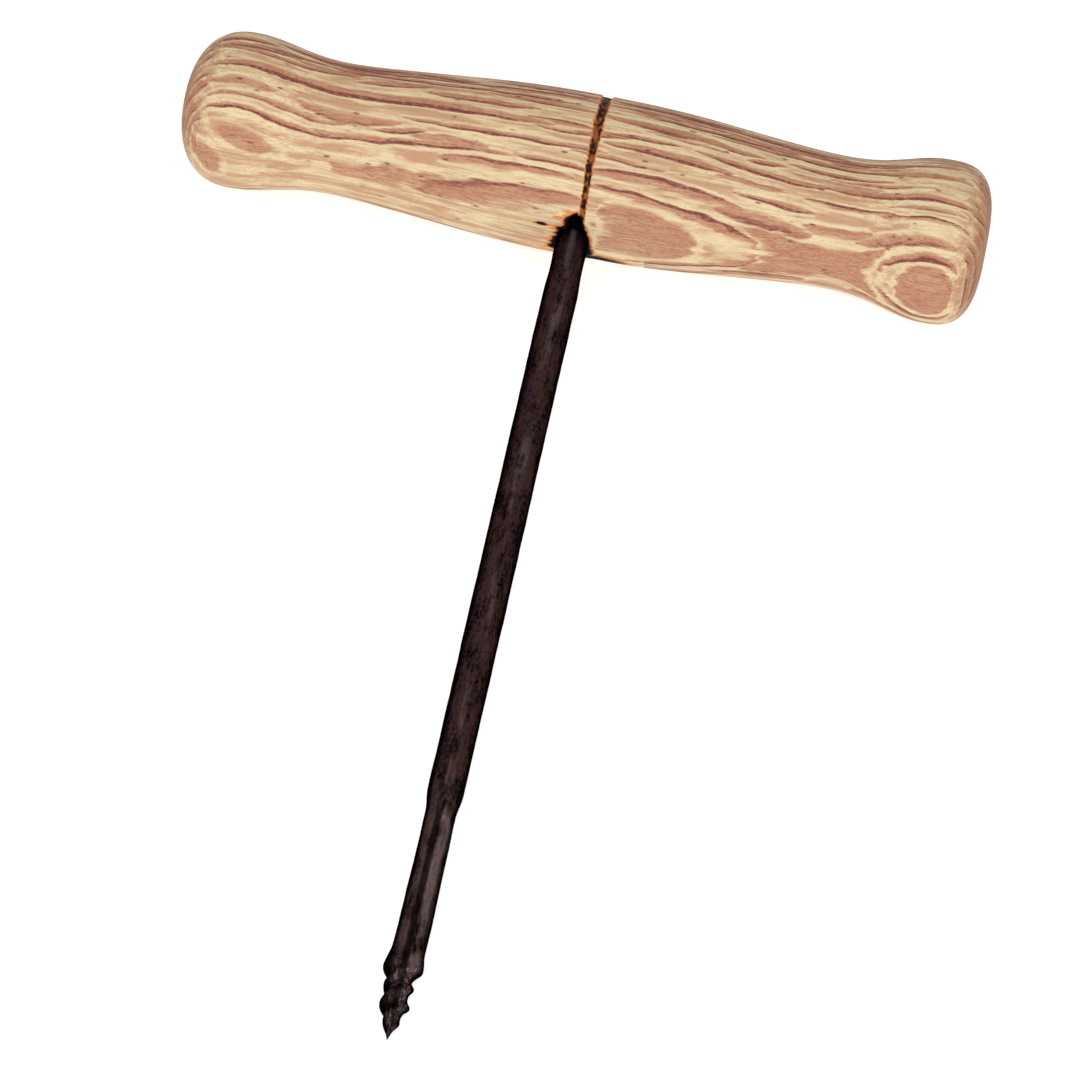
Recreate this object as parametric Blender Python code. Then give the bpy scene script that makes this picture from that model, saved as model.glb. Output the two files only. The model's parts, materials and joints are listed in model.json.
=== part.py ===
"""T-handled dibber with a screw point: a turned wooden cross handle on a forged steel shank.

Metres, +Z up.  The pieces are shaped with the shank upright on the Z axis, its point at the
origin and the handle along X, and then the whole tool is laid down on its side: it rests on
the handle and on a cutter, with its point towards -Y.  The shank's tang passes through the
handle and is riveted over a rove.
"""
import math

import bmesh
import bpy
from mathutils import Matrix, Vector

# ---------------------------------------------------------------- driving dimensions (metres)
FIT_GAP = 0.0003            # clearance between pieces that touch on the real tool

AXIS_HEIGHT = 0.271         # point of the screw to the middle of the handle, upright

# handle, turned along X; the left arm is the one at -X
LEFT_ARM = 0.1056           # shank axis to the left end
RIGHT_ARM = 0.1040          # shank axis to the right end
BELLY_DIAMETER = 0.0422     # swelling in the middle
LEFT_NECK_DIAMETER = 0.0339
LEFT_NECK_PLACE = 0.0645    # shank axis to the slimmest place
LEFT_BULB_DIAMETER = 0.0406
LEFT_BULB_LENGTH = 0.0157   # widest place of the bulb to the end
RIGHT_NECK_DIAMETER = 0.0343
RIGHT_NECK_PLACE = 0.0635
RIGHT_BULB_DIAMETER = 0.0426
RIGHT_BULB_LENGTH = 0.0135
LEFT_FACE_DIAMETER = 0.0090     # flat left by the lathe centre at each end
RIGHT_FACE_DIAMETER = 0.0160
BELLY_FULLNESS = 1.6        # how long the belly keeps its thickness, as an exponent
LEFT_BULB_SQUARENESS = 2.4  # exponent of the bulb's corner: 2 is a true ellipse
RIGHT_BULB_SQUARENESS = 3.1
LEFT_SWELL = 1.15           # how late the neck swells into the bulb, as an exponent
RIGHT_SWELL = 1.3

GROOVE_PLACE = 0.0012       # burnt V groove round the belly, beside the shank axis
GROOVE_WIDTH = 0.0032
GROOVE_DEPTH = 0.0017

MOUTH_DIAMETER = 0.0124     # burnt funnel where the shank enters the wood
MOUTH_DEPTH = 0.0050

# shank
ROD_DIAMETER = 0.0089
NECKED_ROD_DIAMETER = 0.0084    # the rod is drawn down a little under the handle
NECKED_ROD_LENGTH = 0.010
SHOULDER_DROP = 0.0012      # the rod's shoulder stops this far below the belly's surface
SHOULDER_LENGTH = 0.0030
TANG_CORNER_EASING = 0.25   # taken off the square tang's corners, in half widths
TANG_WIDTH = 0.0044         # square tang, across its flats, at the shoulder
TANG_TOP_WIDTH = 0.0038
HEAD_DIAMETER = 0.0086      # tang end, hammered over the rove
HEAD_THICKNESS = 0.0016
HEAD_BEVEL = 0.0008

# nose: a slimmer fluted length, then two cutters that run on as the screw
WAIST_HEIGHT = 0.066        # point to the foot of the step in the rod
STEP_LENGTH = 0.0065
WAIST_DIAMETER = 0.0075
NOSE_DIAMETER = 0.0081      # the nose grows to this above the cutters
FLUTE_DEPTH = 0.0009
FLUTE_SIDE = math.radians(-58)      # which way the flute faces, from +X
FLUTE_SPREAD = math.radians(40)     # half of the flute's width, round the nose
FLUTE_RUN_OUT = 0.0080      # the flute shallows to nothing over this height at each end
CUTTER_HEIGHT = 0.0202      # point to the tips of the cutters
CUTTER_DIAMETER = 0.0097
CUTTER_REACH = 0.0060       # the cutters fade up into the nose over this height
SCREW_LENGTH = 0.0165       # point to the groove under the cutters
SCREW_DIAMETER = 0.0074
SCREW_ROOT_DIAMETER = 0.0056
SCREW_TAPER = 0.0090        # the screw runs to its point over this length
THREAD_SPACING = 0.0054     # from crest to crest; two threads side by side
THREAD_SHARPNESS = 1.5      # exponent of the crest's wave: higher is sharper
POINT_SHARPNESS = 0.85      # exponent of the taper: 1 is a straight cone
POINT_FLAT = 0.0003         # the filed point ends in a flat this far up its cone

# rove (washer) that the tang is riveted over
ROVE_DIAMETER = 0.0144
ROVE_THICKNESS = 0.0016
ROVE_BEVEL = 0.0004
ROVE_SEAT_DEPTH = 0.0015    # flat cut into the top of the belly

# fineness of the solids
HANDLE_SIDES = 44
SHANK_SIDES = 24
ROVE_SIDES = 40
NOSE_RING_SPACING = 0.0012
STEP_RINGS = 3
ARM_RING_SPACING = 0.0075
END_RINGS = 7
CUT_PAST = 0.004            # cutters stand this far past what they cut

# ---------------------------------------------------------------- places that follow
BELLY_RADIUS = BELLY_DIAMETER / 2
SEAT_HEIGHT = AXIS_HEIGHT + BELLY_RADIUS - ROVE_SEAT_DEPTH
ROVE_BOTTOM = SEAT_HEIGHT + FIT_GAP
ROVE_TOP = ROVE_BOTTOM + ROVE_THICKNESS
HEAD_BOTTOM = ROVE_TOP + FIT_GAP
HEAD_TOP = HEAD_BOTTOM + HEAD_THICKNESS
MOUTH_HEIGHT = AXIS_HEIGHT - BELLY_RADIUS
LYING_HEIGHT = max(BELLY_DIAMETER, LEFT_BULB_DIAMETER, RIGHT_BULB_DIAMETER) / 2
LYING_SLOPE = math.asin((LYING_HEIGHT - CUTTER_DIAMETER / 2) / (AXIS_HEIGHT - CUTTER_HEIGHT))
SHOULDER_BOTTOM = MOUTH_HEIGHT - SHOULDER_DROP
SHOULDER_TOP = SHOULDER_BOTTOM + SHOULDER_LENGTH


def blend(a, b, share):
    """Straight mix of a and b."""
    return a + (b - a) * share


def smooth(share):
    """0 to 1 with level ends."""
    share = min(1.0, max(0.0, share))
    return share * share * (3 - 2 * share)


# ---------------------------------------------------------------- scene and materials
def clear_scene():
    for old in list(bpy.data.objects):
        bpy.data.objects.remove(old, do_unlink=True)


def material(name, colour, roughness, metallic):
    made = bpy.data.materials.new(name)
    made.use_nodes = True
    shader = made.node_tree.nodes["Principled BSDF"]
    shader.inputs["Base Color"].default_value = (*colour, 1.0)
    shader.inputs["Roughness"].default_value = roughness
    shader.inputs["Metallic"].default_value = metallic
    made.diffuse_color = (*colour, 1.0)
    return made


# ---------------------------------------------------------------- making solids
def object_from(name, bm, finish=None, crease=35):
    mesh = bpy.data.meshes.new(name)
    bmesh.ops.recalc_face_normals(bm, faces=bm.faces)
    bm.to_mesh(mesh)
    bm.free()
    mesh.shade_smooth()
    mesh.set_sharp_from_angle(angle=math.radians(crease))
    made = bpy.data.objects.new(name, mesh)
    bpy.context.scene.collection.objects.link(made)
    if finish:
        mesh.materials.append(finish)
    return made


def ringed_solid(rings, sides):
    """Closed mesh through rings of points; rings is a list of functions angle -> point."""
    bm = bmesh.new()
    rows = []
    for ring in rings:
        rows.append([bm.verts.new(ring(2 * math.pi * k / sides)) for k in range(sides)])
    for lower, upper in zip(rows, rows[1:]):
        for k in range(sides):
            after = (k + 1) % sides
            bm.faces.new((lower[k], lower[after], upper[after], upper[k]))
    bm.faces.new(reversed(rows[0]))
    bm.faces.new(rows[-1])
    return bm


def turned(profile, sides):
    """Solid of revolution about X from (x, radius) pairs, centred on the handle's axis."""
    def ring(x, radius):
        return lambda angle: Vector((x, -radius * math.cos(angle), radius * math.sin(angle)))
    return ringed_solid([ring(x, radius) for x, radius in profile], sides)


def upright(profile, sides):
    """Solid of revolution about Z from (z, radius) pairs."""
    def ring(z, radius):
        return lambda angle: Vector((radius * math.cos(angle), radius * math.sin(angle), z))
    return ringed_solid([ring(z, radius) for z, radius in profile], sides)


def cut(solid, cutter):
    """Take the cutter out of the solid and hide the cutter."""
    cutter.hide_render = True
    cutter.display_type = 'WIRE'
    step = solid.modifiers.new("cut_" + cutter.name, 'BOOLEAN')
    step.operation = 'DIFFERENCE'
    step.solver = 'EXACT'
    step.object = cutter


# ---------------------------------------------------------------- handle
def arm_radius(x):
    """Radius of the turned handle at x, without its groove."""
    left = x < 0
    out = abs(x)
    arm = LEFT_ARM if left else RIGHT_ARM
    neck_place = LEFT_NECK_PLACE if left else RIGHT_NECK_PLACE
    neck = (LEFT_NECK_DIAMETER if left else RIGHT_NECK_DIAMETER) / 2
    bulb = (LEFT_BULB_DIAMETER if left else RIGHT_BULB_DIAMETER) / 2
    bulb_length = LEFT_BULB_LENGTH if left else RIGHT_BULB_LENGTH
    square = LEFT_BULB_SQUARENESS if left else RIGHT_BULB_SQUARENESS
    swell = LEFT_SWELL if left else RIGHT_SWELL
    bulb_place = arm - bulb_length
    if out <= neck_place:
        fall = (1 - (out / neck_place) ** 2) ** BELLY_FULLNESS
        return neck + (BELLY_RADIUS - neck) * fall
    if out <= bulb_place:
        share = ((out - neck_place) / (bulb_place - neck_place)) ** swell
        return blend(neck, bulb, (1 - math.cos(math.pi * share)) / 2)
    share = min(1.0, (out - bulb_place) / bulb_length)
    return bulb * (1 - share ** square) ** (1 / square)


def end_stations(arm, bulb, bulb_length, square, face):
    """Distances out from the shank for the rounded end, closer together near the face."""
    bulb_place = arm - bulb_length
    face_share = (1 - (face / bulb) ** square) ** (1 / square)
    stations = []
    for step in range(1, END_RINGS + 1):
        share = face_share * math.sin(math.pi / 2 * step / END_RINGS)
        stations.append(bulb_place + bulb_length * share)
    return stations


def handle_profile():
    groove = ((GROOVE_PLACE - GROOVE_WIDTH / 2, 0.0),
              (GROOVE_PLACE, GROOVE_DEPTH),
              (GROOVE_PLACE + GROOVE_WIDTH / 2, 0.0))
    left = end_stations(LEFT_ARM, LEFT_BULB_DIAMETER / 2, LEFT_BULB_LENGTH,
                        LEFT_BULB_SQUARENESS, LEFT_FACE_DIAMETER / 2)
    right = end_stations(RIGHT_ARM, RIGHT_BULB_DIAMETER / 2, RIGHT_BULB_LENGTH,
                         RIGHT_BULB_SQUARENESS, RIGHT_FACE_DIAMETER / 2)
    left_bulb_place = LEFT_ARM - LEFT_BULB_LENGTH
    right_bulb_place = RIGHT_ARM - RIGHT_BULB_LENGTH
    left_count = round((left_bulb_place + groove[0][0]) / ARM_RING_SPACING)
    right_count = round((right_bulb_place - groove[2][0]) / ARM_RING_SPACING)
    profile = [(-LEFT_ARM, LEFT_FACE_DIAMETER / 2)]
    profile += [(-out, arm_radius(-out)) for out in reversed(left[:-1])]
    for step in range(left_count):
        x = blend(-left_bulb_place, groove[0][0], step / left_count)
        profile.append((x, arm_radius(x)))
    profile += [(x, arm_radius(x) - depth) for x, depth in groove]
    for step in range(1, right_count + 1):
        x = blend(groove[2][0], right_bulb_place, step / right_count)
        profile.append((x, arm_radius(x)))
    profile += [(out, arm_radius(out)) for out in right[:-1]]
    profile.append((RIGHT_ARM, RIGHT_FACE_DIAMETER / 2))
    return profile


def shank_way():
    """Rings of the way through the handle: burnt mouth, tang's hole and the rove's seat."""
    slope = (MOUTH_DIAMETER - TANG_WIDTH) / 2 / MOUTH_DEPTH
    seat_radius = ROVE_DIAMETER / 2 + FIT_GAP
    return [round_ring(MOUTH_HEIGHT - CUT_PAST, MOUTH_DIAMETER / 2 + CUT_PAST * slope),
            tang_ring(MOUTH_HEIGHT + MOUTH_DEPTH, FIT_GAP),
            tang_ring(SEAT_HEIGHT, FIT_GAP),
            round_ring(SEAT_HEIGHT, seat_radius),
            round_ring(HEAD_TOP + CUT_PAST, seat_radius)]


def make_handle(wood):
    body = turned(handle_profile(), HANDLE_SIDES)
    bmesh.ops.transform(body, matrix=Matrix.Translation((0, 0, AXIS_HEIGHT)), verts=body.verts)
    handle = object_from("wooden_handle", body, wood)

    way = ringed_solid(shank_way(), ROVE_SIDES)
    cut(handle, object_from("shank_way", way))
    return handle


# ---------------------------------------------------------------- shank
def squared(angle, half_width):
    """Radius of a square bar with eased corners."""
    flat = half_width / max(abs(math.cos(angle)), abs(math.sin(angle)))
    return min(flat, half_width * (math.sqrt(2) - TANG_CORNER_EASING))


def tang_half_width(z):
    share = (z - SHOULDER_TOP) / (HEAD_BOTTOM - SHOULDER_TOP)
    return blend(TANG_WIDTH, TANG_TOP_WIDTH, min(1.0, max(0.0, share))) / 2


def tang_ring(z, grown=0.0):
    def ring(angle):
        radius = squared(angle, tang_half_width(z) + grown)
        return Vector((radius * math.cos(angle), radius * math.sin(angle), z))
    return ring


def round_ring(z, radius):
    return lambda angle: Vector((radius * math.cos(angle), radius * math.sin(angle), z))


def nose_radius(z, angle):
    """Radius of the fluted nose, the cutters and the screw, from the point upwards."""
    turn = 2 * angle - 2 * math.pi * (z - CUTTER_HEIGHT) / THREAD_SPACING
    crest = (0.5 + 0.5 * math.cos(turn)) ** THREAD_SHARPNESS
    if z <= SCREW_LENGTH:
        taper = min(1.0, max(z, POINT_FLAT) / SCREW_TAPER) ** POINT_SHARPNESS
        root = SCREW_ROOT_DIAMETER / 2
        return taper * blend(root, SCREW_DIAMETER / 2, crest)
    if z <= CUTTER_HEIGHT:
        rise = smooth((z - SCREW_LENGTH) / (CUTTER_HEIGHT - SCREW_LENGTH))
        root = blend(SCREW_ROOT_DIAMETER, NOSE_DIAMETER, rise) / 2
        tip = blend(SCREW_DIAMETER, CUTTER_DIAMETER, rise) / 2
        return blend(root, tip, crest)
    shell = shell_radius(z, angle)
    fade = 1 - smooth((z - CUTTER_HEIGHT) / CUTTER_REACH)
    sides = math.cos(angle) ** 2
    return shell + (CUTTER_DIAMETER - NOSE_DIAMETER) / 2 * fade * sides


def shell_radius(z, angle):
    """The nose between the step and the cutters: slightly swelling, with one flute."""
    share = (z - CUTTER_HEIGHT) / (WAIST_HEIGHT - CUTTER_HEIGHT)
    base = blend(NOSE_DIAMETER, WAIST_DIAMETER, smooth(share)) / 2
    away = math.atan2(math.sin(angle - FLUTE_SIDE), math.cos(angle - FLUTE_SIDE))
    ends = smooth((z - CUTTER_HEIGHT) / FLUTE_RUN_OUT) * smooth((WAIST_HEIGHT - z) / FLUTE_RUN_OUT)
    return base - FLUTE_DEPTH * ends * max(0.0, 1 - abs(away) / FLUTE_SPREAD)


def nose_ring(z):
    def ring(angle):
        radius = nose_radius(z, angle)
        return Vector((radius * math.cos(angle), radius * math.sin(angle), z))
    return ring


def make_shank(iron):
    count = math.ceil(WAIST_HEIGHT / NOSE_RING_SPACING)
    rings = [nose_ring(WAIST_HEIGHT * step / count) for step in range(count + 1)]
    for step in range(1, STEP_RINGS + 1):
        share = step / STEP_RINGS
        radius = blend(WAIST_DIAMETER, ROD_DIAMETER, smooth(share)) / 2
        rings.append(round_ring(WAIST_HEIGHT + STEP_LENGTH * share, radius))
    rings.append(round_ring(SHOULDER_BOTTOM - 2 * NECKED_ROD_LENGTH, ROD_DIAMETER / 2))
    rings.append(round_ring(SHOULDER_BOTTOM - NECKED_ROD_LENGTH, NECKED_ROD_DIAMETER / 2))
    rings.append(round_ring(SHOULDER_BOTTOM, NECKED_ROD_DIAMETER / 2))
    rings.append(tang_ring(SHOULDER_TOP))
    rings.append(tang_ring(HEAD_BOTTOM))
    rings.append(round_ring(HEAD_BOTTOM, HEAD_DIAMETER / 2))
    rings.append(round_ring(HEAD_TOP - HEAD_BEVEL, HEAD_DIAMETER / 2))
    rings.append(round_ring(HEAD_TOP, HEAD_DIAMETER / 2 - HEAD_BEVEL))
    return object_from("forged_shank", ringed_solid(rings, SHANK_SIDES), iron)


# ---------------------------------------------------------------- rove
def make_rove(iron):
    profile = [(ROVE_BOTTOM, ROVE_DIAMETER / 2),
               (ROVE_TOP - ROVE_BEVEL, ROVE_DIAMETER / 2),
               (ROVE_TOP, ROVE_DIAMETER / 2 - ROVE_BEVEL)]
    rove = object_from("tang_rove", upright(profile, ROVE_SIDES), iron)
    hole_rings = [tang_ring(ROVE_BOTTOM - CUT_PAST, FIT_GAP), tang_ring(ROVE_TOP + CUT_PAST, FIT_GAP)]
    cut(rove, object_from("rove_hole", ringed_solid(hole_rings, SHANK_SIDES)))
    return rove


# ---------------------------------------------------------------- laid on its side
def lay_down():
    """Turn the upright tool about X until it lies on the ground, centred on the origin."""
    rest = bpy.data.objects.new("lying", None)
    rest.rotation_euler = (LYING_SLOPE - math.pi / 2, 0, 0)
    rest.location = (0, -HEAD_TOP / 2 * math.cos(LYING_SLOPE),
                     LYING_HEIGHT - AXIS_HEIGHT * math.sin(LYING_SLOPE))
    bpy.context.scene.collection.objects.link(rest)
    for piece in bpy.data.objects:
        if piece is not rest:
            piece.parent = rest


def build():
    clear_scene()
    wood = material("turned_wood", (0.60, 0.38, 0.22), 0.55, 0.0)
    iron = material("forged_iron", (0.030, 0.022, 0.022), 0.50, 0.7)
    worn_iron = material("rove_iron", (0.045, 0.035, 0.032), 0.45, 0.8)
    make_handle(wood)
    make_shank(iron)
    make_rove(worn_iron)
    lay_down()


build()
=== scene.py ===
# %% [markdown]
# # A T-handled dibber with a screw point
# The tool is three pieces: a turned wooden handle, a forged steel shank that runs from the
# tang's hammered head down to the screw, and the rove (washer) that the tang is riveted over.
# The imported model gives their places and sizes.  This script makes each one again at full
# detail: the handle's burnt mouth and groove, the forged bar and its cutters, the wood's grain
# and the black oxide skin of the iron.

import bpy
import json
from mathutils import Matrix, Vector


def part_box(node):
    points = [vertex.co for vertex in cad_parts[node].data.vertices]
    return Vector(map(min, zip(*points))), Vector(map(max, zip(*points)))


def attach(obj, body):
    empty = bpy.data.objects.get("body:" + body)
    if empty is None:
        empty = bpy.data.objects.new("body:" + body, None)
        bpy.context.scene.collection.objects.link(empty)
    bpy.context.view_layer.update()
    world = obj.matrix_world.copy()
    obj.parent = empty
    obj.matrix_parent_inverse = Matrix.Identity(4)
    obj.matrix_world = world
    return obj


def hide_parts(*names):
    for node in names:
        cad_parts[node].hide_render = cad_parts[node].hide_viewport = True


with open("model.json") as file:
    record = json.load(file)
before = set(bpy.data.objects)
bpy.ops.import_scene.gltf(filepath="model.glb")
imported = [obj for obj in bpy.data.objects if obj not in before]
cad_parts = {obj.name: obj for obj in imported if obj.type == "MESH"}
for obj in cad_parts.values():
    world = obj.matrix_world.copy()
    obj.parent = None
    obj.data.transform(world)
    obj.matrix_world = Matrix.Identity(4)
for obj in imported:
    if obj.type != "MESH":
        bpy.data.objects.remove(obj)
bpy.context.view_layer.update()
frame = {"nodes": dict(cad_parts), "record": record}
print("nodes:", sorted(frame["nodes"]))

# %% Tools used all through
import json
import math

import bmesh
import bpy
import numpy as np
from mathutils import Matrix, Vector, noise

MM = 0.001
TAU = 2 * math.pi
scene = bpy.context.scene

# %% [markdown]
# ## The tool's own axes
# The tool lies on its side, tilted a little because the screw's end is thinner than the handle.
# Everything is easier to think of with the tool upright: x along the handle, z along the shank,
# y from front to back, and zero where the two axes cross.  The frame's mounts say where those
# axes are, so one matrix turns upright places into places on the ground.  Each mesh is made
# upright and goes through that matrix at the end.

# %% Where the axes cross
mounts = {mount["name"]: mount for mount in frame["record"]["mounts"]}
shank_up = Vector(mounts["tang_head"]["axis"]).normalized()
thick_end = Vector(mounts["handle_end_thick"]["pos_m"])
slim_end = Vector(mounts["handle_end_slim"]["pos_m"])
crossing = Vector((0, thick_end.y, thick_end.z))
along = Vector((1, 0, 0))
axes = Matrix((along, shank_up.cross(along), shank_up)).transposed()
TO_GROUND = Matrix.Translation(crossing) @ axes.to_4x4()

RIGHT_ARM = thick_end.x
LEFT_ARM = -slim_end.x
HEAD_TOP = (Vector(mounts["tang_head"]["pos_m"]) - crossing).dot(shank_up)
point_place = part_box("forged_shank")[0]
REACH = (crossing.y - point_place[1]) / shank_up.y      # from the handle's axis to the point
print(f"handle arms {LEFT_ARM / MM:.1f} and {RIGHT_ARM / MM:.1f} mm, reach {REACH / MM:.1f} mm")


# %% [markdown]
# ## Writing node trees as sums
# A shader or a geometry tree is mostly arithmetic.  A Wire wraps one output socket, and adding
# or multiplying wires adds Math nodes, so a formula in Python becomes the same formula in nodes.
# A Board is one node tree, and its add method makes any other node.

# %% Wires and boards
class Wire:
    """An output socket that can be used in a sum."""

    def __init__(self, board, socket):
        self.board = board
        self.socket = socket

    def sum(self, operation, first, second=None):
        values = {0: first} if second is None else {0: first, 1: second}
        return self.board.add("ShaderNodeMath", {"operation": operation}, values)

    def __add__(self, other):
        return self.sum("ADD", self, other)

    def __radd__(self, other):
        return self.sum("ADD", other, self)

    def __sub__(self, other):
        return self.sum("SUBTRACT", self, other)

    def __rsub__(self, other):
        return self.sum("SUBTRACT", other, self)

    def __mul__(self, other):
        return self.sum("MULTIPLY", self, other)

    def __rmul__(self, other):
        return self.sum("MULTIPLY", other, self)

    def __truediv__(self, other):
        return self.sum("DIVIDE", self, other)

    def __pow__(self, other):
        return self.sum("POWER", self, other)

    def __abs__(self):
        return self.sum("ABSOLUTE", self)

    def cos(self):
        return self.sum("COSINE", self)

    def sin(self):
        return self.sum("SINE", self)

    def part(self):
        """What is left over a whole number."""
        return self.sum("FRACT", self)

    def least(self, other):
        return self.sum("MINIMUM", self, other)

    def most(self, other):
        return self.sum("MAXIMUM", self, other)

    def above(self, other):
        return self.sum("GREATER_THAN", self, other)

    def rise(self, start, end):
        """0 below start, 1 above end, with a soft S between."""
        settings = {"interpolation_type": "SMOOTHSTEP"}
        values = {"Value": self, "From Min": start, "From Max": end}
        return self.board.add("ShaderNodeMapRange", settings, values)


class Board:
    """One node tree, with a short way to add nodes and links."""

    def __init__(self, tree):
        self.tree = tree

    def add(self, kind, settings=None, values=None, out=0):
        made = self.tree.nodes.new(kind)
        for name, value in (settings or {}).items():
            setattr(made, name, value)
        for key, value in (values or {}).items():
            self.put(made.inputs[key], value)
        return Wire(self, made.outputs[out])

    def put(self, socket, value):
        if isinstance(value, Wire):
            self.tree.links.new(value.socket, socket)
        else:
            socket.default_value = value

    def outputs(self, wire):
        """All the outputs of the node that this wire comes from."""
        return [Wire(self, socket) for socket in wire.socket.node.outputs]

    def vector(self, x, y, z):
        return self.add("ShaderNodeCombineXYZ", values={0: x, 1: y, 2: z})

    def parts(self, vector):
        return self.outputs(self.add("ShaderNodeSeparateXYZ", values={0: vector}))


# %% [markdown]
# ## Floor, light and camera
# A plain pale floor under the tool and soft, nearly even light from above keep the wood's
# colours true.  The floor also glows a little, so that it comes out white and the shadow on it
# stays faint.  A brighter room would do that too, but it would wash out the wood.  One smaller
# lamp to the camera's right lights the iron from that side; the iron's broken highlight is
# painted into its colour.  The camera looks from the screw's end, with a long lens, and is
# turned a little on its axis.

# %% Camera
SENSOR = 36.0
VIEW_AZIMUTH = math.radians(3.195)      # round the upright tool
VIEW_ELEVATION = math.radians(-37.147)  # below the handle's level plane, upright
VIEW_ROLL = math.radians(12.744)
VIEW_TARGET = Vector((0.00874, 0, -0.11843))    # upright, in metres
VIEW_DISTANCE = 1.7643
LENS = 238.2


def make_camera():
    """Aim at the upright tool, then carry the camera over to the lying one."""
    back = Vector((math.sin(VIEW_AZIMUTH) * math.cos(VIEW_ELEVATION),
                   -math.cos(VIEW_AZIMUTH) * math.cos(VIEW_ELEVATION),
                   math.sin(VIEW_ELEVATION)))
    level = (-back).cross(Vector((0, 0, 1))).normalized()
    upright = level.cross(-back)
    right = level * math.cos(VIEW_ROLL) + upright * math.sin(VIEW_ROLL)
    up = -level * math.sin(VIEW_ROLL) + upright * math.cos(VIEW_ROLL)
    turned = Matrix((right, up, back)).transposed().to_4x4()
    place = Matrix.Translation(VIEW_TARGET + back * VIEW_DISTANCE)
    camera = bpy.data.objects.new("camera", bpy.data.cameras.new("camera"))
    camera.data.sensor_width = SENSOR
    camera.data.lens = LENS
    camera.data.clip_start = 0.1
    scene.collection.objects.link(camera)
    camera.matrix_world = TO_GROUND @ place @ turned
    scene.camera = camera
    return camera


camera = make_camera()
print("camera at", [round(value, 3) for value in camera.location])

# %% Floor
FLOOR_SIDE = 8.0
FLOOR_TONE = 0.6
FLOOR_GLOW = 0.65


def make_floor():
    """One square under the tool."""
    paper = bpy.data.materials.new("pale_floor")
    paper.use_nodes = True
    shader = paper.node_tree.nodes["Principled BSDF"]
    shader.inputs["Base Color"].default_value = (FLOOR_TONE, FLOOR_TONE, FLOOR_TONE, 1)
    shader.inputs["Emission Color"].default_value = (1, 1, 1, 1)
    shader.inputs["Emission Strength"].default_value = FLOOR_GLOW
    shader.inputs["Roughness"].default_value = 0.9
    mesh = bpy.data.meshes.new("floor")
    half = FLOOR_SIDE / 2
    mesh.from_pydata([(-half, -half, 0), (half, -half, 0), (half, half, 0), (-half, half, 0)],
                     [], [(0, 1, 2, 3)])
    mesh.materials.append(paper)
    floor = bpy.data.objects.new("floor", mesh)
    scene.collection.objects.link(floor)


make_floor()


# %% Lights
STUDIO_LIGHT = 0.50         # the even light that comes from all round


def softbox(name, place, aim, size, power):
    """A round lamp at a place, turned to face another."""
    lamp = bpy.data.lights.new(name, 'AREA')
    lamp.shape = 'DISK'
    lamp.size = size
    lamp.energy = power
    light = bpy.data.objects.new(name, lamp)
    light.location = place
    light.rotation_mode = 'QUATERNION'
    light.rotation_quaternion = (Vector(aim) - Vector(place)).to_track_quat('-Z', 'Y')
    scene.collection.objects.link(light)


sky = bpy.data.worlds.new("studio")
sky.use_nodes = True
sky.node_tree.nodes["Background"].inputs["Color"].default_value = (1, 1, 1, 1)
sky.node_tree.nodes["Background"].inputs["Strength"].default_value = STUDIO_LIGHT
scene.world = sky
softbox("overhead", place=(-0.15, -0.75, 1.2), aim=(0, 0.05, 0), size=1.2, power=11.5)
softbox("right_front", place=(0.6, -0.9, 1.0), aim=(0, 0, 0), size=0.35, power=4.2)
scene.view_settings.view_transform = 'Standard'

# %% [markdown]
# ## Shape of the handle
# A turner cuts this handle between centres: a belly in the middle, a neck each side for the
# fingers, and a bulb at each end.  The outline is a rule in x, so the mesh is a fine net of rings
# along x.  The net is closer where the detail is: round the belly, where the shank goes in, and
# at the rounded ends.

# %% Sizes of the handle
BELLY_RADIUS = 21.1 * MM
LEFT_NECK = {"radius": 16.95 * MM, "place": 64.5 * MM}
RIGHT_NECK = {"radius": 17.15 * MM, "place": 63.5 * MM}
LEFT_BULB = {"radius": 20.3 * MM, "length": 15.7 * MM, "square": 2.4, "swell": 1.15}
RIGHT_BULB = {"radius": 21.3 * MM, "length": 13.5 * MM, "square": 3.1, "swell": 1.3}
BELLY_FULLNESS = 1.6        # higher keeps the belly nearer the shank


def smooth(share):
    """A soft S from 0 to 1."""
    share = np.clip(share, 0, 1)
    return share * share * (3 - 2 * share)


def arm_radius(out, arm, neck, bulb):
    """Radius at a distance out from the shank, along one arm."""
    bulb_place = arm - bulb["length"]
    inner = np.clip(1 - (out / neck["place"]) ** 2, 0, 1) ** BELLY_FULLNESS
    belly = neck["radius"] + (BELLY_RADIUS - neck["radius"]) * inner
    share = np.clip((out - neck["place"]) / (bulb_place - neck["place"]), 0, 1) ** bulb["swell"]
    swell = neck["radius"] + (bulb["radius"] - neck["radius"]) * (1 - np.cos(math.pi * share)) / 2
    share = np.clip((out - bulb_place) / bulb["length"], 0, 1)
    end = bulb["radius"] * (1 - share ** bulb["square"]) ** (1 / bulb["square"])
    return np.where(out < neck["place"], belly, np.where(out < bulb_place, swell, end))


def handle_radius(x):
    """Radius of the turned handle; the two arms differ a little."""
    left = arm_radius(np.abs(x), LEFT_ARM, LEFT_NECK, LEFT_BULB)
    right = arm_radius(np.abs(x), RIGHT_ARM, RIGHT_NECK, RIGHT_BULB)
    return np.where(x < 0, left, right)


print("belly", handle_radius(np.array([0.0])) / MM)

# %% [markdown]
# ### Groove and burnt mouth
# The groove was burnt in while the handle turned, probably with a wire.  The mouth is where the
# hot tang was driven in: it charred a ragged hole that runs out to a point along the groove.
# Both are worked out as a depth below the turned surface, which is simpler than cutting them
# out and keeps the net of rings whole.  "burn" is the distance inside the mouth's edge: it
# shapes the wood here and colours it later, so the char always lies just where the pit is.

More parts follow.
